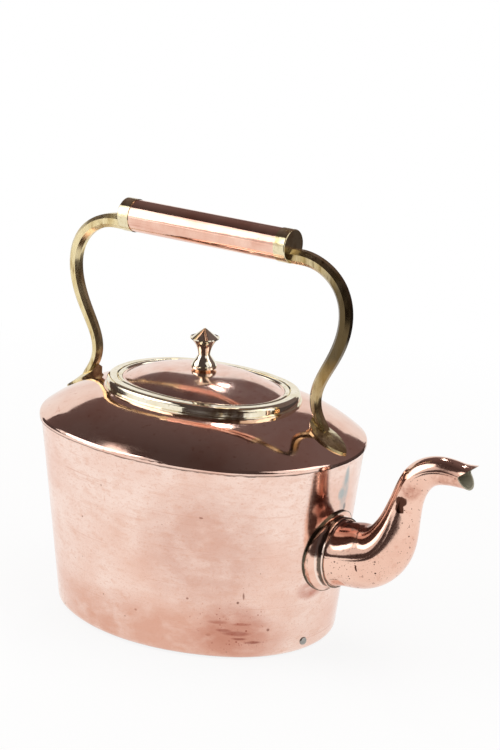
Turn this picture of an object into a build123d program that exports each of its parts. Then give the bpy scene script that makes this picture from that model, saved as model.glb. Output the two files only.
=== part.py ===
"""Oval copper kettle with a brass handle, a gooseneck spout and a lift-off lid.

The origin is the centre of the base on the surface it stands on, +Z is up and
+X points along the kettle to the spout. All sizes are in millimetres.
"""

import os
from math import atan, degrees

from build123d import *

# ---- Driving dimensions ---------------------------------------------------

# An oval is a coppersmith's four-arc oval: half length, half width and the
# radius of its two end arcs. The two side arcs follow from these three.
base_oval = (103.0, 80.7, 71.5)      # outside of the wall where it meets the floor
rim_oval = (119.0, 89.5, 83.0)       # outside of the wall at its top edge
neck_oval = (63.8, 45.3, 41.3)       # outer edge of the lid

# Vessel
wall_top = 138.0
wall_thickness = 1.2
floor_thickness = 1.2
tray_height = 12.0                   # upturned edge of the base
base_corner_radius = 7.0

# Shoulder
lip_depth = 2.2                      # how far the shoulder laps over the wall
lip_thickness = 1.0
lip_clearance = 0.1
lip_band = 0.8                       # upright band of the rim above the wall's top
shoulder_thickness = 1.4
shoulder_rise = 22.0
shoulder_bulge = 0.16                # height of the dome above a straight cone, as a share of the rise
rim_rounding = 2.6

# Neck ring, given as distances outside (+) or inside (-) the lid's edge
ring_flange_out = 8.4
ring_flange_thickness = 1.2
ring_band_out = 7.2
ring_height = 7.4
ring_rounding = 2.8
ring_recess_out = 0.45
ring_recess_depth = 2.7
ring_bore_in = 3.3
ring_spigot_wall = 1.6
ring_spigot_depth = 4.0
neck_seat_out = 9.2                  # flat seat on top of the shoulder
solder_gap = 0.1                     # between a tube or spigot and its hole

# Lid
lid_bead_width = 3.7
lid_bead_height = 2.9
lid_bead_rounding = 1.7
lid_flange_reach = 2.6
lid_flange_thickness = 0.8
panel_thickness = 1.0
panel_margin = 1.2                   # flat beside the bead
lid_dome_rise = 10.2
lid_dome_fullness = 2.5              # 2 is a plain bow, more is flatter on top and steeper at the edge
lid_dome_shares = (0, 0.12, 0.28, 0.48, 0.72, 1)     # where it is shaped, from edge to crown
crown_oval = (7.5, 6.5, 6.3)         # flat on the crown, under the knob
skirt_gap = 1.0                      # between the skirt and the neck's bore
skirt_thickness = 0.8
skirt_depth = 12.8

# Knob. Heights are above the lid's crown, drops are below the tip.
knob_height = 29.6
knob_foot_radius = 7.0
knob_bulb_radius = 8.9
knob_bulb_height = 1.4
knob_bulb_band = 1.6
knob_bulb_step = (0.6, 0.4)
knob_waist_radius = 4.1
knob_waist_height = 10.6
knob_cap_radius = 10.1
knob_cap_drop = 7.5
knob_cap_band = 0.8
knob_dip_radius = 9.1                # the cone starts just inside the cap's raised rim
knob_dip_drop = 7.0
knob_shank_radius = 2.5
knob_peen_radius = 3.75
knob_washer_radius = 5.2
washer_thickness = 1.0
peen_height = 0.9

# Handle
grip_axis_height = 275.7
grip_half_length = 69.3
grip_radius = 11.6
grip_tube_wall = 0.9
cap_wall = 0.45
cap_end_thickness = 1.5
cap_skirt = 7.5
cap_rounding = 0.7
arm_drop = 6.3                       # arm centre below the grip's axis at the cap
tang_radius = 3.0
tang_peen_radius = 3.45
tang_washer_radius = 3.8
# Centre line of the arm. The bend is out from the grip's end; the bow, the sweep
# and the landing are out from the foot's root. The bend's heights are from the
# arm's start, the landing's from the shoulder, and those of the bow and the
# sweep are shares of the rise from the neck's seat to the arm's start.
arm_bend = [(16.5, -0.9), (32.0, -9.0)]
arm_bow = (21.4, 0.692)
arm_sweep = [(16.0, 0.47), (6.3, 0.29), (0.9, 0.115)]
arm_landing = [(5.2, 5.1), (10.0, 2.4)]
# Share of the centre line, width across the arm and depth along the kettle.
arm_sections = [
    (0.0, 9.6, 9.6),
    (0.1, 9.4, 9.4),
    (0.22, 9.0, 9.2),
    (0.36, 8.8, 9.2),
    (0.5, 8.7, 9.0),
    (0.65, 8.4, 8.4),
    (0.8, 8.0, 7.4),
    (0.92, 7.8, 5.8),
    (1.0, 8.2, 3.8),
]
arm_bevel = 0.29                     # corner bevel as a share of the bar's thickness

# Feet of the handle
foot_tip_inset = 1.7                 # from the shoulder's rim to the tip
foot_length = 26.8
foot_wide_at = 13.0                  # from the root to the widest part
foot_root_half_width = 5.0
foot_half_width = 9.8
foot_edge = 1.7
foot_edge_drop = 0.3                 # the shoulder falls away under the foot's edges
foot_ridge = (8.0, 4.6, 2.0)         # ridge height at the root, the wide part and the tip
peg_radius = 2.0
peg_peen_radius = 2.6
peg_places = (8.5, 18.0)             # from the foot's root
burr_radius = 4.4
burr_depth = 3.1                     # underside of a burr below the shoulder's outside, along its peg

# Spout
spout_height = 71.5
spout_root_radius = 23.0
spout_root_reach = 7.7               # straight root, out from the wall
spout_wall = 1.1
port_ledge = 1.9                     # the port in the wall is smaller than the spout's bore
collar_flange_reach = 5.5            # flange outside the spout's root
collar_flange_thickness = 1.5
collar_lip = 1.5
collar_lip_width = 1.3
collar_flare_depth = 9.5             # from the lip back to where the flare meets its flange
# Centre line after the root: out and up from the root's end, and the outside
# radius there. The mouth's points are from the same place.
spout_stations = [
    (14.0, 1.8, 22.3),
    (27.0, 5.9, 20.8),
    (36.6, 15.5, 17.8),
    (42.4, 28.5, 14.6),
    (46.3, 42.0, 12.0),
    (50.4, 55.5, 10.7),
    (57.8, 67.7, 10.5),
    (69.0, 74.0, 9.6),
    (83.0, 75.3, 8.6),
    (103.0, 74.8, 9.5),
]
mouth_corner = (89.0, 76.0)          # where the beak's upper and lower lips meet
mouth_upper = (99.5, 83.9)
mouth_lower = (96.5, 65.5)
mouth_corner_radius = 2.0

# Repair rivet low on the wall near the spout
plug_height = 8.8
plug_angle = -13.7
plug_head_radius = 2.9
plug_shank_radius = 1.6
plug_head_height = 0.9
plug_head_taper = 25.0
plug_seat_depth = 0.5                # lets the flat head meet the curved wall


# ---- Shared geometry ------------------------------------------------------

def between(lower, upper, share):
    """An oval part of the way from one oval to another."""
    return tuple(low + (high - low) * share for low, high in zip(lower, upper))


def oval_sketch(height, oval, grow=0.0):
    """Face of a four-arc oval at a height, grown evenly outwards."""
    length, width, end_radius = (value + grow for value in oval)
    side_radius = (length**2 + width**2 - 2 * length * end_radius) / (2 * (width - end_radius))
    end_centre = length - end_radius
    joint_x = end_centre + end_radius * end_centre / (side_radius - end_radius)
    joint_y = end_radius * (side_radius - width) / (side_radius - end_radius)
    with BuildSketch(Plane.XY.offset(height)) as sketch:
        with BuildLine():
            ThreePointArc((joint_x, -joint_y), (length, 0), (joint_x, joint_y))
            ThreePointArc((joint_x, joint_y), (0, width), (-joint_x, joint_y))
            ThreePointArc((-joint_x, joint_y), (-length, 0), (-joint_x, -joint_y))
            ThreePointArc((-joint_x, -joint_y), (0, -width), (joint_x, -joint_y))
        make_face()
    return sketch.sketch


def oval_prism(oval, grow, low, high, mode=Mode.ADD):
    """Upright oval prism between two heights."""
    extrude(oval_sketch(low, oval, grow), amount=high - low, mode=mode)


def oval_loft(levels, ruled=True, mode=Mode.ADD):
    """Loft through (height, oval, grow) levels."""
    loft([oval_sketch(height, oval, grow) for height, oval, grow in levels], ruled=ruled, mode=mode)


def disc(plane, radius, hole=0.0):
    """Round face on a plane, with an optional hole."""
    with BuildSketch(plane) as sketch:
        Circle(radius)
        if hole:
            Circle(hole, mode=Mode.SUBTRACT)
    return sketch.sketch


def wall_oval(height):
    """Outside of the tapered wall at a height."""
    return between(base_oval, rim_oval, height / wall_top)


def grown(oval, grow):
    return tuple(value + grow for value in oval)


def dome_levels(low, low_oval, high, high_oval):
    """Four levels of a shoulder that bulges above a straight cone."""
    levels = []
    for share in (0, 1 / 3, 2 / 3, 1):
        rise = share + 4 * shoulder_bulge * share * (1 - share)
        levels.append((low + (high - low) * rise, between(low_oval, high_oval, share), 0))
    return levels


dome_base = wall_top + lip_band
neck_seat = dome_base + shoulder_rise
lip_oval = grown(rim_oval, lip_thickness)
seat_oval = grown(neck_oval, neck_seat_out)


def shoulder_height(x):
    """Height of the shoulder's outside on the kettle's middle plane."""
    share = (lip_oval[0] - x) / (lip_oval[0] - seat_oval[0])
    return dome_base + shoulder_rise * (share + 4 * shoulder_bulge * share * (1 - share))


spout_root_end = wall_oval(spout_height)[0] + spout_root_reach
port_radius = spout_root_radius - spout_wall - port_ledge
collar_flange_radius = spout_root_radius + collar_flange_reach
foot_tip = lip_oval[0] - foot_tip_inset
foot_root = foot_tip - foot_length
foot_wide = foot_root + foot_wide_at

# Filled outside of the vessel, for trimming what seats on it.
with BuildPart() as wall_blank:
    oval_loft([(height, wall_oval(height), 0) for height in (0, wall_top)])

with BuildPart() as shoulder_blank:
    oval_prism(lip_oval, 0, wall_top - lip_depth, dome_base)
    oval_loft(dome_levels(dome_base, lip_oval, neck_seat, seat_oval), ruled=False)
    fillet(
        shoulder_blank.edges().filter_by_position(Axis.Z, dome_base - 0.01, dome_base + 0.01),
        rim_rounding,
    )

# ---- Vessel ---------------------------------------------------------------

plug_oval = wall_oval(plug_height)
plug_centre = Vector(plug_oval[0] - plug_oval[2], 0, plug_height)
plug_direction = Vector(1, 0, 0).rotate(Axis.Z, plug_angle)
plug_plane = Plane(
    origin=plug_centre + plug_direction * plug_oval[2],
    x_dir=(0, 0, 1),
    z_dir=plug_direction,
)

with BuildPart() as tray_cavity:
    oval_loft([
        (height, wall_oval(height), -wall_thickness) for height in (floor_thickness, tray_height)
    ])
    fillet(tray_cavity.faces().sort_by(Axis.Z)[0].edges(), base_corner_radius - wall_thickness)

with BuildPart() as base_plate:
    add(wall_blank.part)
    split(bisect_by=Plane.XY.offset(tray_height), keep=Keep.BOTTOM)
    fillet(base_plate.faces().sort_by(Axis.Z)[0].edges(), base_corner_radius)
    add(tray_cavity.part, mode=Mode.SUBTRACT)
    with BuildSketch(plug_plane):
        Circle(plug_shank_radius + solder_gap)
    extrude(amount=3 * wall_thickness, both=True, mode=Mode.SUBTRACT)
base_plate.part.label = "base_plate"

with BuildPart() as side_wall:
    add(wall_blank.part)
    split(bisect_by=Plane.XY.offset(tray_height), keep=Keep.TOP)
    oval_loft(
        [(height, wall_oval(height), -wall_thickness) for height in (tray_height, wall_top)],
        mode=Mode.SUBTRACT,
    )
    with BuildSketch(Plane.YZ):
        with Locations((0, spout_height)):
            Circle(port_radius)
    extrude(amount=rim_oval[0], mode=Mode.SUBTRACT)
side_wall.part.label = "side_wall"

with BuildPart() as repair_rivet:
    with BuildSketch(plug_plane):
        Circle(plug_head_radius)
    extrude(amount=plug_head_height, taper=plug_head_taper)
    with BuildSketch(plug_plane):
        Circle(plug_head_radius)
    extrude(amount=-plug_seat_depth)
    with BuildSketch(plug_plane):
        Circle(plug_shank_radius)
    extrude(amount=-2 * wall_thickness)
    with BuildSketch(plug_plane.offset(-wall_thickness)):
        Circle(plug_head_radius)
    extrude(amount=-plug_head_height)
    add(base_plate.part, mode=Mode.SUBTRACT)
repair_rivet.part.label = "repair_rivet"

# ---- Shoulder and neck ring -----------------------------------------------

# The pegs of a foot are parallel, square to the shoulder half way between them.
peg_positions = [foot_root + place for place in peg_places]
peg_fall = shoulder_height(peg_positions[0]) - shoulder_height(peg_positions[1])
peg_tilt = degrees(atan(peg_fall / (peg_positions[1] - peg_positions[0])))
peg_direction = Vector(0, 0, 1).rotate(Axis.Y, peg_tilt)
peg_planes = [
    Plane(origin=(x, 0, shoulder_height(x)), x_dir=(0, 1, 0), z_dir=peg_direction)
    for x in peg_positions
]

with BuildPart() as shoulder:
    add(shoulder_blank.part)
    oval_prism(rim_oval, lip_clearance, wall_top - lip_depth, wall_top, mode=Mode.SUBTRACT)
    oval_loft(
        dome_levels(wall_top, grown(rim_oval, -wall_thickness), neck_seat - shoulder_thickness, seat_oval),
        ruled=False,
        mode=Mode.SUBTRACT,
    )
    oval_prism(
        neck_oval,
        solder_gap + ring_spigot_wall - ring_bore_in,
        neck_seat - 2 * shoulder_thickness,
        neck_seat,
        mode=Mode.SUBTRACT,
    )
    for plane in peg_planes:
        with BuildSketch(plane):
            Circle(peg_radius + solder_gap)
        peg_hole = extrude(amount=4 * shoulder_thickness, both=True, mode=Mode.SUBTRACT)
        mirror(peg_hole, about=Plane.YZ, mode=Mode.SUBTRACT)
shoulder.part.label = "shoulder"

ring_top = neck_seat + ring_height
ring_ledge = ring_top - ring_recess_depth

with BuildPart() as neck_ring:
    oval_prism(neck_oval, ring_band_out, neck_seat, ring_top)
    fillet(neck_ring.edges().group_by(Axis.Z)[-1], ring_rounding)
    oval_prism(neck_oval, ring_flange_out, neck_seat, neck_seat + ring_flange_thickness)
    oval_prism(neck_oval, ring_spigot_wall - ring_bore_in, neck_seat - ring_spigot_depth, neck_seat)
    oval_prism(neck_oval, ring_recess_out, ring_ledge, ring_top, mode=Mode.SUBTRACT)
    oval_prism(neck_oval, -ring_bore_in, neck_seat - ring_spigot_depth, ring_ledge, mode=Mode.SUBTRACT)
neck_ring.part.label = "neck_ring"

# ---- Spout ----------------------------------------------------------------

spout_root = Plane(origin=(spout_root_end, 0, spout_height), x_dir=(0, 1, 0), z_dir=(1, 0, 0))



def from_root(point):
    """Point on the middle plane, given out and up from the end of the spout's root."""
    return Vector(spout_root_end + point[0], 0, spout_height + point[1])


with BuildLine() as spout_line:
    spout_path = Spline(
        [from_root((0, 0))] + [from_root(station) for station in spout_stations],
        tangents=[(1, 0, 0), (1, 0, 0)],
    )


def spout_bulk(shrink, mode=Mode.ADD):
    """Outside of the spout, or its bore when shrunk by the wall."""
    sections = [disc(spout_root, spout_root_radius - shrink)]
    for station in spout_stations:
        place = spout_path.param_at_point(from_root(station))
        plane = Plane(spout_path @ place, x_dir=(0, 1, 0), z_dir=spout_path % place)
        sections.append(disc(plane, station[2] - shrink))
    loft(sections, mode=mode)
    extrude(sections[0], amount=-collar_flange_radius, mode=mode)


with BuildPart() as spout:
    spout_bulk(0)
    spout_bulk(spout_wall, mode=Mode.SUBTRACT)
    # The mouth is an open beak, cut along two lines that meet at its corner.
    upper_slope = (mouth_upper[1] - mouth_corner[1]) / (mouth_upper[0] - mouth_corner[0])
    lower_slope = (mouth_lower[0] - mouth_corner[0]) / (mouth_corner[1] - mouth_lower[1])
    beyond = 2 * spout_stations[-1][2]
    with BuildSketch(Plane(from_root(mouth_corner), x_dir=(1, 0, 0), z_dir=(0, -1, 0))) as beak:
        with BuildLine():
            Polyline(
                (0, 0),
                (beyond * lower_slope, -beyond),
                (2 * beyond, -beyond),
                (2 * beyond, beyond * upper_slope),
                (beyond, beyond * upper_slope),
                close=True,
            )
        make_face()
        fillet(beak.vertices().sort_by(Axis.X)[0], mouth_corner_radius)
    extrude(amount=beyond, both=True, mode=Mode.SUBTRACT)
    add(wall_blank.part, mode=Mode.SUBTRACT)
spout.part.label = "spout"

with BuildPart() as flange_blank:
    oval_loft([(height, wall_oval(height), collar_flange_thickness) for height in (0, wall_top)])

with BuildPart() as spout_collar:
    # A flange that follows the wall, then a flared sleeve round the spout.
    with BuildSketch(spout_root):
        Circle(collar_flange_radius)
    extrude(amount=-collar_flange_radius)
    add(flange_blank.part, mode=Mode.INTERSECT)
    sleeve = spout_root_radius + collar_lip
    with BuildSketch(Plane((spout_root_end, 0, spout_height), x_dir=(1, 0, 0), z_dir=(0, -1, 0))):
        with BuildLine():
            lip_front = (-collar_lip_width / 3, sleeve)
            lip_back = (-collar_lip_width, sleeve)
            throat = (-1.5 * collar_lip_width, sleeve - collar_lip / 2)
            flare_radius = collar_flange_radius - collar_lip / 2
            flare = (-collar_flare_depth, flare_radius)
            inside_wall = -collar_flange_radius
            Polyline((0, 0), (0, sleeve - collar_lip / 2), lip_front, lip_back, throat)
            Spline(throat, flare, tangents=[(-1, 0.1), (-1, 1.2)])
            Polyline(flare, (inside_wall, flare_radius), (inside_wall, 0), (0, 0))
        make_face()
    revolve(axis=Axis((0, 0, spout_height), (1, 0, 0)))
    with BuildSketch(Plane.YZ):
        with Locations((0, spout_height)):
            Circle(spout_root_radius + solder_gap)
    extrude(amount=2 * spout_root_end, mode=Mode.SUBTRACT)
    add(wall_blank.part, mode=Mode.SUBTRACT)
spout_collar.part.label = "spout_collar"

# ---- Lid ------------------------------------------------------------------

bead_top = ring_ledge + lid_bead_height
flange_in = lid_bead_width + lid_flange_reach
flange_top = ring_ledge + lid_flange_thickness
panel_in = lid_bead_width + solder_gap
dome_edge = grown(neck_oval, -panel_in - panel_margin)
crown_top = flange_top + panel_thickness + lid_dome_rise

with BuildPart() as lid_rim:
    oval_prism(neck_oval, 0, ring_ledge, bead_top)
    oval_prism(neck_oval, -lid_bead_width, flange_top, bead_top, mode=Mode.SUBTRACT)
    fillet(lid_rim.edges().group_by(Axis.Z)[-1], lid_bead_rounding)
    oval_prism(neck_oval, -flange_in, ring_ledge, flange_top, mode=Mode.SUBTRACT)
lid_rim.part.label = "lid_rim"


def panel_bulk(drop):
    """Everything under the lid panel's top face, or under its underside."""
    top = flange_top + panel_thickness - drop
    oval_prism(neck_oval, -panel_in, ring_ledge, top)
    dome = []
    for share in lid_dome_shares:
        height = top + lid_dome_rise * (1 - (1 - share) ** lid_dome_fullness)
        dome.append((height, between(dome_edge, crown_oval, share), 0))
    oval_loft(dome, ruled=False)


with BuildPart() as panel_underside:
    panel_bulk(panel_thickness)

with BuildPart() as lid_panel:
    panel_bulk(0)
    add(panel_underside.part, mode=Mode.SUBTRACT)
    with BuildSketch(Plane.XY):
        Circle(knob_shank_radius + solder_gap)
    extrude(amount=2 * ring_top, mode=Mode.SUBTRACT)
lid_panel.part.label = "lid_panel"

with BuildPart() as lid_skirt:
    skirt_out = ring_bore_in + skirt_gap
    oval_prism(neck_oval, -skirt_out, ring_ledge - skirt_depth, ring_ledge)
    oval_prism(
        neck_oval, -skirt_out - skirt_thickness, ring_ledge - skirt_depth, ring_ledge, mode=Mode.SUBTRACT
    )
lid_skirt.part.label = "lid_skirt"

washer_top = crown_top - panel_thickness
shank_end = washer_top - washer_thickness - peen_height

with BuildPart() as lid_knob:
    with BuildSketch(Plane.XZ):
        with BuildLine():
            tip_height = crown_top + knob_height
            bulb_low = (knob_bulb_radius, crown_top + knob_bulb_height)
            bulb_high = (knob_bulb_radius, bulb_low[1] + knob_bulb_band)
            bulb_ledge = (bulb_high[0] - knob_bulb_step[0], bulb_high[1] + knob_bulb_step[1])
            waist = (knob_waist_radius, crown_top + knob_waist_height)
            cap_low = (knob_cap_radius, tip_height - knob_cap_drop)
            cap_high = (knob_cap_radius, cap_low[1] + knob_cap_band)
            dip = (knob_dip_radius, tip_height - knob_dip_drop)
            Polyline(
                (knob_shank_radius, crown_top), (knob_foot_radius, crown_top), bulb_low, bulb_high, bulb_ledge
            )
            Spline(bulb_ledge, waist, tangents=[(-0.15, 1), (-0.45, 1)])
            Spline(waist, cap_low, tangents=[(0.1, 1), (1, 0.75)])
            Polyline(
                cap_low,
                cap_high,
                dip,
                (0, tip_height),
                (0, shank_end),
                (knob_peen_radius, shank_end),
                (knob_peen_radius, shank_end + peen_height),
                (knob_shank_radius, shank_end + peen_height),
                (knob_shank_radius, crown_top),
            )
        make_face()
    revolve(axis=Axis.Z)
lid_knob.part.label = "lid_knob"

with BuildPart() as knob_washer:
    with BuildSketch(Plane.XY.offset(washer_top)):
        Circle(knob_washer_radius)
        Circle(knob_shank_radius + solder_gap, mode=Mode.SUBTRACT)
    extrude(amount=-washer_thickness)
knob_washer.part.label = "knob_washer"

# ---- Handle ---------------------------------------------------------------

arm_height = grip_axis_height - arm_drop
arm_rise = arm_height - neck_seat

with BuildLine() as arm_line:
    # The arm leaves the grip level, bows out past the kettle's end and
    # turns in again to a neck above its foot.
    arm_path = Spline(
        [(grip_half_length, 0, arm_height)]
        + [(grip_half_length + out, 0, arm_height + up) for out, up in arm_bend]
        + [(foot_root + arm_bow[0], 0, neck_seat + arm_bow[1] * arm_rise)]
        + [(foot_root + out, 0, neck_seat + share * arm_rise) for out, share in arm_sweep]
        + [(foot_root + out, 0, shoulder_height(foot_root + out) + up) for out, up in arm_landing],
        tangents=[(1, 0, 0), (1, 0, -0.8)],
    )


def bar_section(plane, width, depth):
    """Square bar section with bevelled corners on a plane."""
    with BuildSketch(plane) as bar:
        Rectangle(width, depth)
        chamfer(bar.vertices(), arm_bevel * min(width, depth))
    return bar.sketch


# Leaf-shaped foot with a ridge down its middle.
with BuildPart() as foot_blank:
    for x, ridge in zip((foot_root, foot_wide, foot_tip), foot_ridge):
        edge_height = shoulder_height(x) + foot_edge - foot_edge_drop
        with BuildSketch(Plane.YZ.offset(x)):
            with BuildLine():
                Polyline(
                    (-foot_half_width, wall_top),
                    (-foot_half_width, edge_height),
                    (0, shoulder_height(x) + ridge),
                    (foot_half_width, edge_height),
                    (foot_half_width, wall_top),
                    close=True,
                )
            make_face()
    loft(ruled=True)
    with BuildSketch(Plane.XY):
        with BuildLine():
            root_edge = (foot_root, foot_root_half_width)
            wide_edge = (foot_wide, foot_half_width)
            ThreePointArc(root_edge, wide_edge, (foot_tip, 0))
            ThreePointArc((foot_tip, 0), (wide_edge[0], -wide_edge[1]), (root_edge[0], -root_edge[1]))
            Line((root_edge[0], -root_edge[1]), root_edge)
        make_face()
    extrude(amount=2 * neck_seat, mode=Mode.INTERSECT)

with BuildPart() as arm_front:
    loft([
        bar_section(Plane(arm_path @ place, x_dir=(0, 1, 0), z_dir=arm_path % place), width, depth)
        for place, width, depth in arm_sections
    ])
    add(foot_blank.part)
    add(shoulder_blank.part, mode=Mode.SUBTRACT)
    # Tang through the end of the grip, peened over a washer inside it.
    tang_end = grip_half_length - cap_end_thickness - washer_thickness
    with BuildSketch(Plane.YZ.offset(grip_half_length)):
        with Locations((0, arm_height)):
            Circle(tang_radius)
    extrude(amount=tang_end - grip_half_length)
    with BuildSketch(Plane.YZ.offset(tang_end)):
        with Locations((0, arm_height)):
            Circle(tang_peen_radius)
    extrude(amount=-peen_height)
    # Pegs under the foot, peened over burrs inside the shoulder.
    for plane in peg_planes:
        with BuildSketch(plane.offset(peg_radius / 2)):
            Circle(peg_radius)
        extrude(amount=-burr_depth - peg_radius / 2)
        with BuildSketch(plane.offset(-burr_depth)):
            Circle(peg_peen_radius)
        extrude(amount=-peen_height)
arm_front.part.label = "arm_front"

with BuildPart() as arm_rear:
    add(mirror(arm_front.part, about=Plane.YZ))
arm_rear.part.label = "arm_rear"

with BuildPart() as foot_burrs:
    for plane in peg_planes:
        with BuildSketch(plane.offset(-burr_depth)):
            Circle(burr_radius)
            Circle(peg_radius + solder_gap, mode=Mode.SUBTRACT)
        burr = extrude(amount=burr_depth - shoulder_thickness)
        mirror(burr, about=Plane.YZ)
    add(shoulder.part, mode=Mode.SUBTRACT)
foot_burrs.part.label = "foot_burrs"

tube_radius = grip_radius - cap_wall
grip_start = Plane(origin=(-grip_half_length, 0, grip_axis_height), x_dir=(0, 1, 0), z_dir=(1, 0, 0))

with BuildPart() as grip_tube:
    with BuildSketch(grip_start.offset(cap_end_thickness)):
        Circle(tube_radius)
        Circle(tube_radius - grip_tube_wall, mode=Mode.SUBTRACT)
    extrude(amount=2 * (grip_half_length - cap_end_thickness))
grip_tube.part.label = "grip_tube"

with BuildPart() as grip_cap_front:
    with BuildSketch(Plane.YZ.offset(grip_half_length)):
        with Locations((0, grip_axis_height)):
            Circle(grip_radius)
    extrude(amount=-cap_end_thickness - cap_skirt)
    fillet(grip_cap_front.edges().sort_by(Axis.X)[-1], cap_rounding)
    with BuildSketch(Plane.YZ.offset(grip_half_length - cap_end_thickness)):
        with Locations((0, grip_axis_height)):
            Circle(tube_radius + solder_gap / 2)
    extrude(amount=-cap_skirt, mode=Mode.SUBTRACT)
    with BuildSketch(Plane.YZ.offset(grip_half_length)):
        with Locations((0, arm_height)):
            Circle(tang_radius + solder_gap / 2)
    extrude(amount=-cap_end_thickness, mode=Mode.SUBTRACT)
grip_cap_front.part.label = "grip_cap_front"

with BuildPart() as grip_cap_rear:
    add(mirror(grip_cap_front.part, about=Plane.YZ))
grip_cap_rear.part.label = "grip_cap_rear"

with BuildPart() as tang_washers:
    with BuildSketch(Plane.YZ.offset(grip_half_length - cap_end_thickness)):
        with Locations((0, arm_height)):
            Circle(tang_washer_radius)
            Circle(tang_radius + solder_gap / 2, mode=Mode.SUBTRACT)
    washer = extrude(amount=-washer_thickness)
    mirror(washer, about=Plane.YZ)
tang_washers.part.label = "tang_washers"

# ---- Export ---------------------------------------------------------------

os.makedirs("parts", exist_ok=True)
for piece in (
    base_plate, side_wall, repair_rivet, shoulder, neck_ring, spout, spout_collar,
    lid_rim, lid_panel, lid_skirt, lid_knob, knob_washer,
    arm_front, arm_rear, foot_burrs, grip_tube, grip_cap_front, grip_cap_rear, tang_washers,
):
    export_step(piece.part, f"parts/{piece.part.label}.step")
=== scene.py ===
import math

import bpy
from mathutils import Euler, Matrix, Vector

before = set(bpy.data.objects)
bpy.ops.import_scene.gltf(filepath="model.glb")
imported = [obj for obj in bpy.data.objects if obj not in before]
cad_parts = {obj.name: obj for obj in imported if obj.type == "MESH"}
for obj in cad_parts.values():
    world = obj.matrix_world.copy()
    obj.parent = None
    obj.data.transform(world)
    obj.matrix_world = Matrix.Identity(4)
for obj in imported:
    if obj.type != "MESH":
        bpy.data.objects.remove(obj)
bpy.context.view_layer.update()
print("frame loaded:", len(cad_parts), "nodes")

mmPerMetre = 1000.0


def linear(hexColour):
    # sRGB hex to the linear values that Blender works in, by the standard's own curve
    parts = [int(hexColour[i:i + 2], 16) / 255 for i in (1, 3, 5)]
    return tuple(p / 12.92 if p <= 0.04045 else ((p + 0.055) / 1.055) ** 2.4 for p in parts) + (1.0,)


def metres(sizes):
    # sizes in mm to metres
    return tuple(size / mmPerMetre for size in sizes)


def away(azimuth, elevation):
    # direction out from the kettle, azimuth in degrees from -Y towards +X
    azimuth, elevation = math.radians(azimuth), math.radians(elevation)
    return Vector((
        math.sin(azimuth) * math.cos(elevation),
        -math.cos(azimuth) * math.cos(elevation),
        math.sin(elevation),
    ))


def addNode(tree, kind, inputs=None, out=0, **settings):
    # adds one node with its settings, values and links, and gives the output asked for
    node = tree.nodes.new(kind)
    for name, value in settings.items():
        setattr(node, name, value)
    for socket, value in (inputs or {}).items():
        if isinstance(value, bpy.types.NodeSocket):
            tree.links.new(value, node.inputs[socket])
        else:
            node.inputs[socket].default_value = value
    return node.outputs[out] if node.outputs else None


def painted(tree, base, layers):
    # colours over one another, each where its mask says
    for mask, colour in layers:
        base = addNode(tree, "ShaderNodeMix", {"Factor": mask, "A": base, "B": linear(colour)},
                       "Result", data_type="RGBA")
    return base


view = {
    "aim": (0.0385, 0.0, 0.1808),       # metres
    "azimuth": 33.93,                   # degrees, as elevation and roll
    "elevation": 16.52,
    "roll": 2.275,
    "distance": 1.7347,                 # metres
    "lens": 122.58,                     # mm
    "sensor": 36.0,                     # mm along the render's long side
}


def makeCamera():
    outwards = away(view["azimuth"], view["elevation"])
    data = bpy.data.cameras.new("camera")
    data.lens = view["lens"]
    data.sensor_width = view["sensor"]
    data.sensor_fit = "AUTO"
    data.dof.use_dof = False
    camera = bpy.data.objects.new("camera", data)
    bpy.context.scene.collection.objects.link(camera)
    camera.location = Vector(view["aim"]) + outwards * view["distance"]
    level = outwards.to_track_quat("Z", "Y")
    roll = Euler((0, 0, math.radians(view["roll"]))).to_quaternion()
    camera.rotation_euler = (level @ roll).to_euler()
    bpy.context.scene.camera = camera


makeCamera()
print("camera placed")

room = {
    "front": "#4a403f",
    "back": "#6e5f5e",
    "rises": (0.0, 1.0, 0.2),       # the way in which the room gets lighter
    "turn": (-0.1, 0.65),           # it does so between these parts of a unit step that way
    "background": "#ffffff",
}


def makeWorld():
    # a dark room in the metal, a little lighter behind, and plain white to the camera and through glass
    world = bpy.data.worlds.new("studio")
    bpy.context.scene.world = world
    world.use_nodes = True
    tree = world.node_tree
    tree.nodes.clear()
    direction = addNode(tree, "ShaderNodeTexCoord", out="Generated")
    depth = addNode(tree, "ShaderNodeVectorMath", {0: direction, 1: room["rises"]}, "Value",
                    operation="DOT_PRODUCT")
    start, end = room["turn"]
    behind = addNode(tree, "ShaderNodeMapRange", {"Value": depth, "From Min": start, "From Max": end})
    camera = addNode(tree, "ShaderNodeLightPath", out="Is Camera Ray")
    through = addNode(tree, "ShaderNodeLightPath", out="Is Transmission Ray")
    seen = addNode(tree, "ShaderNodeMath", {0: camera, 1: through}, operation="MAXIMUM")
    shade = painted(tree, linear(room["front"]), [(behind, room["back"]), (seen, room["background"])])
    glow = addNode(tree, "ShaderNodeBackground", {"Color": shade, "Strength": 1.0})
    addNode(tree, "ShaderNodeOutputWorld", {"Surface": glow})


lampAim = (0.0, 0.0, 0.14)      # metres: the middle of the kettle

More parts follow.
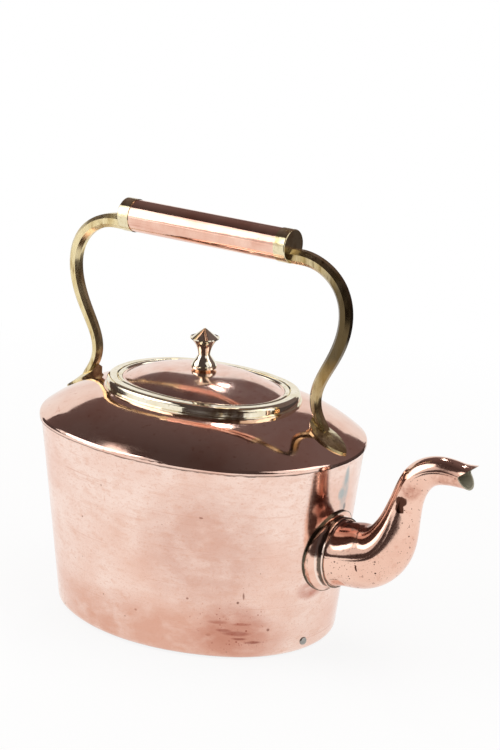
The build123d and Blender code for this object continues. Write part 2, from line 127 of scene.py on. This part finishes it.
# angles in degrees, distance and size in metres, and the brightness that a mirror shows
lamps = {
    "leftBox": {
        "azimuth": -51.5, "elevation": 25, "distance": 1.5,
        "size": (1.05, 1.50), "brightness": 1.7, "shape": "ELLIPSE",
    },
    "leftFill": {
        "azimuth": -49, "elevation": 20, "distance": 1.6,
        "size": (1.80, 1.35), "brightness": 0.75, "shape": "ELLIPSE",
    },
    "rightBox": {
        "azimuth": 90, "elevation": 28, "distance": 1.5,
        "size": (1.5, 1.60), "brightness": 0.9, "shape": "RECTANGLE",
    },
    "rightCore": {
        "azimuth": 104, "elevation": 34, "distance": 1.5,
        "size": (0.75, 1.2), "brightness": 0.75, "shape": "RECTANGLE",
    },
    "highLamp": {
        "azimuth": -142.5, "elevation": 54.5, "distance": 1.5,
        "size": (0.13, 0.13), "brightness": 13.0, "shape": "RECTANGLE",
    },
    "lowLamp": {
        "azimuth": -149, "elevation": 44, "distance": 1.5,
        "size": (0.09, 0.09), "brightness": 13.0, "shape": "RECTANGLE",
    },
    "overhead": {
        "azimuth": 0, "elevation": 90, "distance": 2.2,
        "size": (2.4, 2.4), "brightness": 2.1, "shape": "RECTANGLE",
        "inMetal": False,       # it lights the paper, and no reflection shows it
    },
}


def makeLamp(name, values):
    outwards = away(values["azimuth"], values["elevation"])
    width, height = values["size"]
    data = bpy.data.lights.new(name, "AREA")
    data.shape = values["shape"]
    data.size = width
    data.size_y = height
    area = width * height * (math.pi / 4 if values["shape"] == "ELLIPSE" else 1.0)
    data.energy = values["brightness"] * math.pi * area     # watts that look that bright in a mirror
    lamp = bpy.data.objects.new(name, data)
    bpy.context.scene.collection.objects.link(lamp)
    lamp.location = Vector(lampAim) + outwards * values["distance"]
    lamp.rotation_euler = outwards.to_track_quat("Z", "Y").to_euler()
    lamp.visible_camera = False
    lamp.visible_glossy = values.get("inMetal", True)


def makeSheet(name, corners):
    # flat sheet of the studio, with an empty material
    mesh = bpy.data.meshes.new(name)
    mesh.from_pydata(corners, [], [tuple(range(len(corners)))])
    sheet = bpy.data.objects.new(name, mesh)
    bpy.context.scene.collection.objects.link(sheet)
    material = bpy.data.materials.new(name)
    material.use_nodes = True
    material.node_tree.nodes.clear()
    mesh.materials.append(material)
    return sheet


paper = {
    "colour": "#f4f3f1",
    "reach": 6.0,               # metres each way
    "whiteFrom": 0.30,          # metres from the kettle where it starts to turn plain white
    "whiteTo": 0.75,
    "whiteShare": 0.88,         # how plain white it is under the kettle
    "white": "#ffffff",
}


def makePaper():
    # matt white paper, which cameras and mirrors see as plain white further out
    reach = paper["reach"]
    sheet = makeSheet("whitePaper", [
        (-reach, -reach, 0.0), (reach, -reach, 0.0), (reach, reach, 0.0), (-reach, reach, 0.0),
    ])
    tree = sheet.active_material.node_tree
    matt = addNode(tree, "ShaderNodeBsdfDiffuse", {"Color": linear(paper["colour"])})
    white = addNode(tree, "ShaderNodeEmission", {"Color": linear(paper["white"]), "Strength": 1.0})
    place = addNode(tree, "ShaderNodeTexCoord", out="Object")
    distance = addNode(tree, "ShaderNodeVectorMath", {0: place}, "Value", operation="LENGTH")
    share = addNode(tree, "ShaderNodeMapRange", {
        "Value": distance, "From Min": paper["whiteFrom"], "From Max": paper["whiteTo"],
        "To Min": paper["whiteShare"], "To Max": 1.0,
    })
    seen = addNode(tree, "ShaderNodeLightPath", out="Is Camera Ray")
    for kind in ("Is Glossy Ray", "Is Transmission Ray"):
        ray = addNode(tree, "ShaderNodeLightPath", out=kind)
        seen = addNode(tree, "ShaderNodeMath", {0: seen, 1: ray}, operation="MAXIMUM")
    share = addNode(tree, "ShaderNodeMath", {0: share, 1: seen}, operation="MULTIPLY")
    mixed = addNode(tree, "ShaderNodeMixShader", {0: share, 1: matt, 2: white})
    addNode(tree, "ShaderNodeOutputMaterial", {"Surface": mixed})


# cards that only the metal shows, in metres: the dark floor round the paper, and paper that stands up behind
cards = {
    "floors": {
        "frontFloor": [(-0.12, -0.52), (-1.3, -6.0), (6.0, -6.0), (6.0, -0.9), (0.45, -0.30), (0.25, -0.52)],
        "leftFloor": [(-0.50, 0.14), (-6.0, 2.0), (-6.0, -2.2), (-0.52, -0.28)],
        "backFloor": [(0.0, 0.44), (0.27, 0.33), (0.44, 0.18), (6.0, 2.4), (6.0, 6.0), (0.0, 6.0)],
    },
    "floorColour": "#4a4140",
    "floorLift": 0.002,         # clear of the paper below
    "backColour": "#f5f4f2",
    "backLeft": (-0.55, 0.09),
    "backRight": (0.06, 0.37),
    "leftHeight": 0.42,
    "rightHeight": 0.29,
}


def makeCard(name, corners, colour):
    card = makeSheet(name, corners)
    tree = card.active_material.node_tree
    glow = addNode(tree, "ShaderNodeEmission", {"Color": linear(colour), "Strength": 1.0})
    addNode(tree, "ShaderNodeOutputMaterial", {"Surface": glow})
    card.visible_camera = False
    card.visible_diffuse = False
    card.visible_shadow = False


def makeCards():
    for name, corners in cards["floors"].items():
        makeCard(name, [(x, y, cards["floorLift"]) for x, y in corners], cards["floorColour"])
    left, right = cards["backLeft"], cards["backRight"]
    makeCard("backPaper", [
        (*left, 0.0), (*right, 0.0), (*right, cards["rightHeight"]), (*left, cards["leftHeight"]),
    ], cards["backColour"])


makeWorld()
for lampName, lampValues in lamps.items():
    makeLamp(lampName, lampValues)
makePaper()
makeCards()
bpy.context.scene.view_settings.view_transform = "Standard"
print("studio ready")

# what all the metals' patterns share
patterns = {
    "noiseRoughness": 0.55,
    "noiseMiddle": (0.5, 0.5, 0.5),     # noise that pushes a place about is counted from here
    "pushDetail": 2.0,                  # layers of finer noise in each kind of pattern
    "cloudDetail": 3.0,
    "grainDetail": 5.0,
    "reliefDetail": 2.0,
    "rubbedLevels": (0.3, 0.7),         # noise levels of the brightest and the dullest rubbing
    "speckEdge": 0.3,                   # soft edge of a speck, in its radii
    "blotFull": 0.5,                    # a mark is full this far in from its radii
    "lineEdges": (1.4, 0.7),            # a line starts and is full here, in its half widths
}


def cloud(tree, place, sizes, low, high, detail=patterns["cloudDetail"]):
    # soft noise of that size in mm, spread from 0 to 1 between two of its levels
    scale = tuple(mmPerMetre / size for size in sizes)
    scaled = addNode(tree, "ShaderNodeMapping", {"Vector": place, "Scale": scale})
    noise = addNode(tree, "ShaderNodeTexNoise", {
        "Vector": scaled, "Scale": 1.0, "Detail": detail, "Roughness": patterns["noiseRoughness"],
    }, "Fac")
    return addNode(tree, "ShaderNodeMapRange", {"Value": noise, "From Min": low, "From Max": high})


def speckle(tree, place, spacing, radius, share):
    # specks up to that radius in mm, in that share of cells of that spacing
    scale = mmPerMetre / spacing
    cells = addNode(tree, "ShaderNodeTexVoronoi", {"Vector": place, "Scale": scale}, "Color")
    chance = addNode(tree, "ShaderNodeSeparateColor", {0: cells}, "Red")
    size = addNode(tree, "ShaderNodeMapRange", {
        "Value": chance, "From Min": 1.0 - share, "From Max": 1.0, "To Max": radius / spacing,
    })
    distance = addNode(tree, "ShaderNodeTexVoronoi", {"Vector": place, "Scale": scale}, "Distance")
    within = addNode(tree, "ShaderNodeMath", {0: size, 1: distance}, operation="SUBTRACT")
    return addNode(tree, "ShaderNodeMapRange", {
        "Value": within, "From Min": 0.0, "From Max": patterns["speckEdge"] * radius / spacing,
    })


def ragged(tree, place, size, reach):
    # the place pushed about by noise, all in mm, so that marks on it get uneven edges
    noise = addNode(tree, "ShaderNodeTexNoise", {
        "Vector": place, "Scale": mmPerMetre / size, "Detail": patterns["pushDetail"],
    }, "Color")
    push = addNode(tree, "ShaderNodeVectorMath", {0: noise, 1: patterns["noiseMiddle"]}, "Vector",
                   operation="SUBTRACT")
    return addNode(tree, "ShaderNodeVectorMath", {
        0: push, 1: metres((reach, reach, reach)), 2: place,
    }, "Vector", operation="MULTIPLY_ADD")


def blot(tree, place, centre, radii, strength):
    # one mark at a place in mm, fading out towards its radii, or crisp where its strength is well above 1
    local = addNode(tree, "ShaderNodeMapping", {
        "Vector": place, "Location": metres(centre), "Scale": metres(radii),
    }, vector_type="TEXTURE")
    fading = addNode(tree, "ShaderNodeTexGradient", {"Vector": local}, "Fac", gradient_type="SPHERICAL")
    return addNode(tree, "ShaderNodeMapRange", {
        "Value": fading, "From Max": patterns["blotFull"], "To Max": strength,
    })


def stripe(tree, place, centre, across, reach, halfWidth, strength):
    # a line at that reach from the centre, counted along the axes named in across, all in mm
    offset = addNode(tree, "ShaderNodeVectorMath", {0: place, 1: metres(centre)}, "Vector",
                     operation="SUBTRACT")
    offset = addNode(tree, "ShaderNodeVectorMath", {0: offset, 1: across}, "Vector", operation="MULTIPLY")
    offset = addNode(tree, "ShaderNodeVectorMath", {0: offset}, "Value", operation="LENGTH")
    offset = addNode(tree, "ShaderNodeMath", {0: offset, 1: reach / mmPerMetre}, operation="SUBTRACT")
    offset = addNode(tree, "ShaderNodeMath", {0: offset}, operation="ABSOLUTE")
    outer, inner = patterns["lineEdges"]
    return addNode(tree, "ShaderNodeMapRange", {
        "Value": offset, "From Min": halfWidth * outer / mmPerMetre,
        "From Max": halfWidth * inner / mmPerMetre, "To Max": strength,
    })


def facing(tree, direction, limit):
    # where the surface faces that way, more than the limit's part of a unit step
    normal = addNode(tree, "ShaderNodeNewGeometry", out="Normal")
    along = addNode(tree, "ShaderNodeVectorMath", {0: normal, 1: direction}, "Value",
                    operation="DOT_PRODUCT")
    return addNode(tree, "ShaderNodeMath", {0: along, 1: limit}, operation="GREATER_THAN")


# what a metal's dictionary holds, with places and sizes in mm; its colours are laid on in this order
#   clouds   size along each axis, noise levels where the colour starts and is full, colour
#   marks    centre, radii, strength, colour
#   stainsAndPaintedShade   the same, stains and painted shade, broken up by the grain
#   grain    size along each axis and two noise levels
#   specks   spacing, largest radius, share of cells that have one, colour
#   pits     centre and radii of the patch, then as specks
#   lines    whether it wanders, centre, axes it is counted along, reach, half width, strength, colour
#   uneven   size of the noise that pushes marks, stains, painted shade and wandering lines about, and how far it does
#   rubbing  size along each axis of the patches of roughness
#   shine    roughness of the brightest and of the dullest patches
#   relief   size along each axis and height of the bumps
#   insideColour and insideMetallic, where its tinned side differs from the plain tin

# hot tin wiped over the inside of the copper, which leaves it grey, streaky and half dull
tinWash = {
    "name": "wipedTin",
    "bright": "#cfcdc8",
    "dull": "#8e8c86",
    "clouds": [((12.0, 12.0, 12.0), 0.3, 0.7, "#8e8c86")],
    "rubbing": (9.0, 9.0, 9.0),
    "shine": (0.3, 0.5),
    "relief": [((6.0, 6.0, 6.0), 0.05)],
}


def metalColours(tree, place, values):
    # masks and colours from a metal's dictionary, the lowest first
    layers = [(cloud(tree, place, *haze), colour) for *haze, colour in values["clouds"]]
    uneven = ragged(tree, place, *values["uneven"]) if "uneven" in values else place
    layers += [(blot(tree, uneven, *mark), colour) for *mark, colour in values.get("marks", [])]
    # stains and painted shade, each broken up by the grain
    if "stainsAndPaintedShade" in values:
        grain = cloud(tree, place, *values["grain"], patterns["grainDetail"])
        for *stainAndShade, colour in values["stainsAndPaintedShade"]:
            stainAndShadeSpot = blot(tree, uneven, *stainAndShade)
            stainAndShadeMask = addNode(tree, "ShaderNodeMath", {0: stainAndShadeSpot, 1: grain}, operation="MULTIPLY")
            layers.append((stainAndShadeMask, colour))
    layers += [(speckle(tree, place, *specks), colour) for *specks, colour in values.get("specks", [])]
    for centre, radii, *specks, colour in values.get("pits", []):
        around, spots = blot(tree, place, centre, radii, 1.0), speckle(tree, place, *specks)
        pitted = addNode(tree, "ShaderNodeMath", {0: around, 1: spots}, operation="MULTIPLY")
        layers.append((pitted, colour))
    layers += [(stripe(tree, uneven if wanders else place, *line), colour)
               for wanders, *line, colour in values.get("lines", [])]
    return layers


def metalRelief(tree, place, values):
    # bumps from a metal's dictionary, each on top of the last
    relief = None
    for sizes, height in values["relief"]:
        pattern = cloud(tree, place, sizes, 0.0, 1.0, patterns["reliefDetail"])
        inputs = {"Height": pattern, "Distance": height / mmPerMetre, "Strength": 1.0}
        if relief:
            inputs["Normal"] = relief
        relief = addNode(tree, "ShaderNodeBump", inputs, "Normal")
    return relief


def agedMetal(values, tinned=None):
    # bare metal from its dictionary, wiped with tin on the side that the tinned function picks out
    material = bpy.data.materials.new(values["name"])
    material.use_nodes = True
    tree = material.node_tree
    tree.nodes.clear()
    place = addNode(tree, "ShaderNodeTexCoord", out="Object")
    layers = metalColours(tree, place, values)
    rubbed = cloud(tree, place, values["rubbing"], *patterns["rubbedLevels"], patterns["grainDetail"])
    brightest, dullest = values["shine"]
    roughness = addNode(tree, "ShaderNodeMapRange", {
        "Value": rubbed, "To Min": brightest, "To Max": dullest,
    })
    metallic = 1.0
    if tinned:
        inside = tinned(tree, place)
        layers.append((inside, values.get("insideColour", tinWash["dull"])))
        if "insideMetallic" in values:
            metallic = addNode(tree, "ShaderNodeMapRange", {
                "Value": inside, "To Min": 1.0, "To Max": values["insideMetallic"],
            })
        roughness = addNode(tree, "ShaderNodeMix", {
            "Factor": inside, "A": roughness, "B": tinWash["shine"][1],
        }, "Result", data_type="FLOAT")
    metal = addNode(tree, "ShaderNodeBsdfPrincipled", {
        "Base Color": painted(tree, linear(values["bright"]), layers),
        "Metallic": metallic,
        "Roughness": roughness,
        "Normal": metalRelief(tree, place, values),
    })
    addNode(tree, "ShaderNodeOutputMaterial", {"Surface": metal})
    return material


# copper sheet of the wall and base, planished, then rubbed bright for years: the hammering bends its soft
# reflections, and heat and wet have left blushes, rust stains and pits
bodyCopper = {
    "name": "satinCopper",
    "bright": "#fadfd2",
    "clouds": [
        ((55.0, 55.0, 40.0), 0.40, 0.75, "#ecc0ad"),
        ((9.0, 9.0, 4.0), 0.50, 0.80, "#ecc3b0"),
        ((2.2, 2.2, 1.4), 0.55, 0.80, "#e6b9a5"),
        ((0.5, 0.5, 30.0), 0.66, 0.78, "#dfae9a"),    # runs down the wall
        ((70.0, 70.0, 0.8), 0.62, 0.80, "#dcaa95"),    # rubbed lines round it
    ],
    "grain": ((15.0, 15.0, 9.0), 0.10, 0.55),
    "stainsAndPaintedShade": [
        ((60, -74, 78), (60, 34, 54), 0.55, "#d09984"),    # blush on the front
        ((-46, -74, 14), (50, 30, 26), 0.35, "#d8977a"),
        ((30, -78, 10), (100, 44, 34), 0.65, "#d89a80"),    # browner along the foot
        ((78, -58, 14), (48, 34, 24), 0.55, "#cf937e"),
        ((74, -60, 24), (32, 24, 22), 0.55, "#c2826d"),    # rust under the spout, with dashes in it
        ((75, -59, 20), (12, 10, 2.2), 0.70, "#9c5546"),
        ((68, -64, 22), (6, 6, 1.5), 0.75, "#9c5546"),
        ((84, -52, 13), (7, 7, 1.4), 0.80, "#8f4c3e"),
        ((64, -66, 28), (8, 7, 1.6), 0.60, "#a8604e"),
        ((78, -57, 27), (8, 7, 1.3), 0.60, "#a8604e"),
        ((77, -58, 16), (6, 6, 1.2), 0.70, "#8f4c3e"),
        ((108, -19, 47), (9, 15, 8), 0.75, "#b86a54"),    # flux round the collar
        ((115, -21, 118), (8, 6, 34), 0.60, "#bd7860"),    # a painted reflection of the spout in the wall: a streak beside the spout's root
        ((116, 4, 114), (6, 6, 20), 0.80, "#aeb4b3"),    # solder that has run over the wall
    ],
    "marks": [
        ((59, -68, 18), (2.0, 2.0, 1.2), 0.95, "#5d3a2e"),    # nicks down to dark copper
        ((77, -61, 43), (1.3, 1.3, 1.3), 0.95, "#5d3a2e"),
        ((80, -59, 48), (0.8, 1.2, 3.4), 0.80, "#6d4436"),
        ((56, -77, 103), (1.8, 1.8, 0.9), 0.95, "#5d3a2e"),
        ((83, -58, 56), (0.7, 1.1, 2.8), 0.70, "#8a5a49"),
        ((91, -44, 22), (1.2, 1.4, 1.5), 0.85, "#5d3a2e"),
        ((8, -82, 27), (1.3, 1.3, 1.0), 0.80, "#7d5040"),
        ((46, -76, 43), (1.2, 1.2, 1.0), 0.80, "#7d5040"),
        ((117, 4, 125), (6, 3.0, 9.0), 0.80, "#a9b6b6"),    # grey ends of the solder
        ((117, 0, 113), (6, 4.8, 5.5), 0.80, "#a9b6b6"),
        ((115, 7, 102), (6, 2.6, 3.6), 0.80, "#6f6a66"),
    ],
    "specks": [(10.0, 0.7, 0.35, "#8a5a49"), (4.0, 0.28, 0.25, "#9a6756")],
    "pits": [
        ((74, -60, 19), (30, 24, 14), 2.6, 0.9, 0.45, "#984f40"),
        ((72, -62, 25), (40, 30, 22), 1.7, 0.7, 0.35, "#a8604e"),
    ],
    "lines": [
        (True, (0, 0, 0), (0, 0, 1), 135.4, 0.32, 0.95, "#2b211b"),    # painted shade: a dark line in the seam under the shoulder's edge
        (False, (0, 0, 0), (0, 0, 1), 0.3, 0.7, 0.9, "#4a4538"),    # painted shade: a dark line round the very bottom, where it stands on the floor
    ],
    "insideMetallic": 0.3,              # old tin, too dull to mirror anything
    "uneven": (9.0, 1.6),
    "rubbing": (60.0, 60.0, 0.7),       # real hairlines are under 0.1 mm: drawn coarser, so that they show
    "shine": (0.10, 0.20),
    "relief": [((42.0, 42.0, 42.0), 0.24), ((60.0, 60.0, 0.7), 0.004)],
}

# how far each tinned side faces its own way, as a part of a unit step
tinnedSides = {"wall": 0.0, "base": 0.5, "under": 0.3, "bore": 0.0}


def bodyInside(tree, place):
    # the wall's inner side and the base's upper side
    inwards = addNode(tree, "ShaderNodeVectorMath", {0: place, 1: (-1.0, -1.0, 0.0)}, "Vector",
                      operation="MULTIPLY")
    inner = facing(tree, inwards, tinnedSides["wall"])
    upper = facing(tree, (0.0, 0.0, 1.0), tinnedSides["base"])
    return addNode(tree, "ShaderNodeMath", {0: inner, 1: upper}, operation="MAXIMUM")


def underside(tree, place):
    return facing(tree, (0.0, 0.0, -1.0), tinnedSides["under"])


# copper sheet of the shoulder, hammered up and polished to a mirror, whose reflections waver a little
shoulderCopper = {
    "name": "mirrorCopper",
    "bright": "#f8d6c6",
    "clouds": [((30.0, 30.0, 30.0), 0.40, 0.75, "#ecbba7"), ((4.0, 4.0, 4.0), 0.62, 0.8, "#d9a08a")],
    "specks": [(9.0, 0.5, 0.25, "#7d5040")],
    "lines": [(True, (0, 0, 0), (0, 0, 1), 136.2, 0.3, 0.7, "#4a3328")],      # painted shade: a dark line under its edge
    "insideMetallic": 0.3,
    "uneven": (9.0, 1.2),
    "rubbing": (30.0, 30.0, 3.0),
    "shine": (0.05, 0.12),
    "relief": [((26.0, 26.0, 26.0), 0.12), ((3.0, 3.0, 3.0), 0.003)],
}

# copper of the lid's raised sheet, spun and polished, a little duller from wiping
lidCopper = {
    "name": "spunCopper",
    "bright": "#fadccf",
    "clouds": [((22.0, 22.0, 22.0), 0.40, 0.75, "#eebba7"), ((3.0, 3.0, 3.0), 0.62, 0.8, "#dca28c")],
    "specks": [(8.0, 0.5, 0.2, "#8a5a49")],
    "rubbing": (12.0, 12.0, 12.0),
    "shine": (0.10, 0.19),
    "relief": [((20.0, 20.0, 20.0), 0.05), ((2.5, 2.5, 2.5), 0.003)],
}

# copper tube of the spout, bent hot and polished: clear reflections, with pits and stains from the heat
spoutCopper = {
    "name": "bentCopper",
    "bright": "#f5ccb8",
    "clouds": [
        ((26.0, 26.0, 26.0), 0.42, 0.75, "#ecbda8"),
        ((5.0, 5.0, 5.0), 0.58, 0.8, "#dda892"),
    ],
    "grain": ((4.0, 4.0, 4.0), 0.3, 0.6),
    "stainsAndPaintedShade": [
        ((175, -10, 130), (9.0, 8.0, 7.0), 0.7, "#c08570"),
        ((150, -18, 52), (40, 20, 10), 0.6, "#d09a86"),
        ((203, -8, 143), (16, 14, 10), 0.8, "#cf9a84"),    # dull lip
    ],
    "marks": [
        ((143, -21, 73), (0.8, 3.0, 2.4), 3.0, "#54352a"),    # nick in the lower bend
        ((169.0, -11.5, 122.5), (4.6, 6.0, 3.8), 3.0, "#54352a"),    # burn mark, with the row below
        ((168.2, -12.5, 118), (3.4, 5.0, 4.6), 3.0, "#54352a"),
        ((128, -4, 97), (26, 18, 13), 0.8, "#8f5546"),    # painted shade on the top of the root, so that the wall mirrors it dark
    ],
    "pits": [
        ((146, -20, 58), (60, 44, 34), 2.6, 0.85, 0.55, "#4a2f26"),
        ((190, -6, 96), (30, 34, 60), 3.0, 0.85, 0.45, "#4a2f26"),
        ((188, -8, 144), (44, 24, 18), 2.8, 0.80, 0.50, "#4a2f26"),
        ((138, -20, 60), (44, 30, 36), 0.9, 0.40, 0.30, "#7a5040"),
        ((182, -6, 104), (26, 34, 60), 1.2, 0.50, 0.22, "#6b4637"),
    ],
    "specks": [(5.0, 0.45, 0.25, "#7d5545")],
    "insideMetallic": 0.0,              # furred and matt
    "insideColour": "#b3af9b",
    "uneven": (4.0, 4.0),
    "rubbing": (20.0, 20.0, 20.0),
    "shine": (0.06, 0.14),
    "relief": [((24.0, 24.0, 24.0), 0.10), ((3.0, 3.0, 3.0), 0.004)],
}

spoutMouth = {"start": 185.0, "height": 146.8}     # mm: where the bore can be seen, and its middle there


def spoutInside(tree, place):
    # the tinned bore, where the mouth lets one see it
    middle = metres((0.0, 0.0, spoutMouth["height"]))
    centred = addNode(tree, "ShaderNodeVectorMath", {0: place, 1: middle}, "Vector", operation="SUBTRACT")
    inwards = addNode(tree, "ShaderNodeVectorMath", {0: centred, 1: (0.0, -1.0, -1.0)}, "Vector",
                      operation="MULTIPLY")
    bore = facing(tree, inwards, tinnedSides["bore"])
    along = addNode(tree, "ShaderNodeSeparateXYZ", {0: place}, "X")
    nearMouth = addNode(tree, "ShaderNodeMath", {0: along, 1: spoutMouth["start"] / mmPerMetre},
                        operation="GREATER_THAN")
    return addNode(tree, "ShaderNodeMath", {0: bore, 1: nearMouth}, operation="MULTIPLY")


# copper of the flared collar, raised by hammer, with dark uneven lines of old solder along its edges
collarCopper = {
    "name": "solderedCopper",
    "bright": "#f5ccb8",
    "clouds": [((9.0, 9.0, 9.0), 0.42, 0.75, "#e6b39d")],
    "lines": [
        (True, (0, 0, 71.5), (0, 1, 1), 28.9, 0.9, 0.95, "#3d4335"),    # solder against the wall
        (True, (0, 0, 71.5), (0, 1, 1), 23.8, 0.5, 0.9, "#4a4236"),    # solder against the spout
        (False, (0, 0, 71.5), (0, 1, 1), 24.7, 0.3, 0.8, "#fbe6d8"),    # painted highlight along the edge by the spout
    ],
    "uneven": (4.0, 1.2),
    "rubbing": (8.0, 8.0, 8.0),
    "shine": (0.08, 0.18),
    "relief": [((6.0, 6.0, 6.0), 0.04), ((1.8, 1.8, 1.8), 0.01)],
}

# copper tube of the grip, drawn and then polished by use, with small dents and rubs along it
gripCopper = {
    "name": "grippedCopper",
    "bright": "#f8d0bc",
    "clouds": [((18.0, 18.0, 18.0), 0.40, 0.75, "#e6b09a"), ((40.0, 1.6, 1.6), 0.60, 0.8, "#cf9580")],
    "specks": [(8.0, 0.6, 0.3, "#7d5040")],
    "rubbing": (30.0, 2.0, 2.0),
    "shine": (0.06, 0.13),
    "relief": [((16.0, 12.0, 12.0), 0.14), ((3.0, 3.0, 3.0), 0.008)],
}

# brass of the neck, the lid's edge and the knob, turned and polished: pale yellow with crisp reflections
ringBrass = {
    "name": "turnedBrass",
    "bright": "#f8f0dc",
    "clouds": [((14.0, 14.0, 14.0), 0.42, 0.78, "#e8dab6"), ((2.5, 2.5, 2.5), 0.6, 0.8, "#bfa877")],
    "grain": ((4.0, 4.0, 4.0), 0.3, 0.6),
    # the darker patch on the front right is a painted reflection of the dark room that the ring mirrors
    # there
    "stainsAndPaintedShade": [((50, -42, 165), (20, 14, 8), 0.8, "#a88858")],
    "specks": [(6.0, 0.4, 0.3, "#8b7444")],
    "uneven": (7.0, 5.0),
    "rubbing": (20.0, 20.0, 1.2),       # turning lines, drawn coarser than they are so that they show
    "shine": (0.04, 0.10),
    "relief": [((18.0, 18.0, 9.0), 0.05), ((2.0, 2.0, 2.0), 0.003)],
}

# brass of the rear arm, cast and filed by hand: broken reflections, mellow in the hollows
armBrass = {
    "name": "castBrass",
    "bright": "#ead9ac",
    "clouds": [
        ((9.0, 9.0, 40.0), 0.42, 0.72, "#cdb47a"),
        ((4.0, 4.0, 16.0), 0.56, 0.76, "#a98c55"),
        ((1.5, 1.5, 5.0), 0.62, 0.78, "#7b6239"),
    ],
    "rubbing": (6.0, 6.0, 14.0),
    "shine": (0.16, 0.30),
    "relief": [((9.0, 9.0, 14.0), 0.14), ((2.0, 2.0, 3.0), 0.01)],
}

# brass of the front arm, the same casting made darker: partly browned by steam from the spout and partly
# painted shade
steamedAndShadedBrass = {
    "name": "steamedAndShadedBrass",
    "bright": "#dccaa0",
    "clouds": [
        ((7.0, 7.0, 40.0), 0.40, 0.70, "#b0965f"),
        ((3.0, 3.0, 18.0), 0.54, 0.74, "#7d6640"),
        ((1.2, 1.2, 6.0), 0.62, 0.80, "#55452c"),
    ],
    "marks": [
        ((114, -3, 222), (28, 26, 66), 0.92, "#54452f"),    # painted shade: dark over the upper arm, above the spout
        ((106, -3, 183), (20, 20, 24), 0.50, "#a58048"),    # lighter golden lower down, towards the foot, where that painted shade gives way
    ],
    "uneven": (7.0, 5.0),
    "rubbing": (5.0, 5.0, 14.0),
    "shine": (0.14, 0.28),
    "relief": [((9.0, 9.0, 14.0), 0.14), ((2.0, 2.0, 3.0), 0.01)],
}

# brass ends of the grip, peened over the arms: bright faces with darker dimples
capBrass = {
    "name": "peenedBrass",
    "bright": "#ecdfba",
    "clouds": [((8.0, 8.0, 8.0), 0.42, 0.72, "#c8ad78"), ((1.5, 1.5, 1.5), 0.6, 0.8, "#7d6136")],
    "rubbing": (5.0, 5.0, 5.0),
    "shine": (0.08, 0.2),
    "relief": [((7.0, 7.0, 7.0), 0.06), ((1.5, 1.5, 1.5), 0.012)],
}

# each metal, the side of it that is tinned, and the nodes that it is on
finishes = [
    (bodyCopper, bodyInside, ["base_plate", "side_wall"]),
    (shoulderCopper, underside, ["shoulder"]),
    (lidCopper, underside, ["lid_panel"]),
    (spoutCopper, spoutInside, ["spout"]),
    (collarCopper, None, ["spout_collar"]),
    (gripCopper, None, ["grip_tube"]),
    (ringBrass, None, ["neck_ring", "lid_rim", "lid_knob"]),
    (armBrass, None, ["arm_rear"]),
    (steamedAndShadedBrass, None, ["arm_front"]),
    (capBrass, None, ["grip_cap_front", "grip_cap_rear"]),
    (tinWash, None, ["lid_skirt", "knob_washer", "foot_burrs", "tang_washers", "repair_rivet"]),
]
for values, tinned, nodeNames in finishes:
    finish = agedMetal(values, tinned)
    for nodeName in nodeNames:
        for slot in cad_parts[nodeName].material_slots:
            slot.material = finish
    print(values["name"], "on", ", ".join(nodeNames))
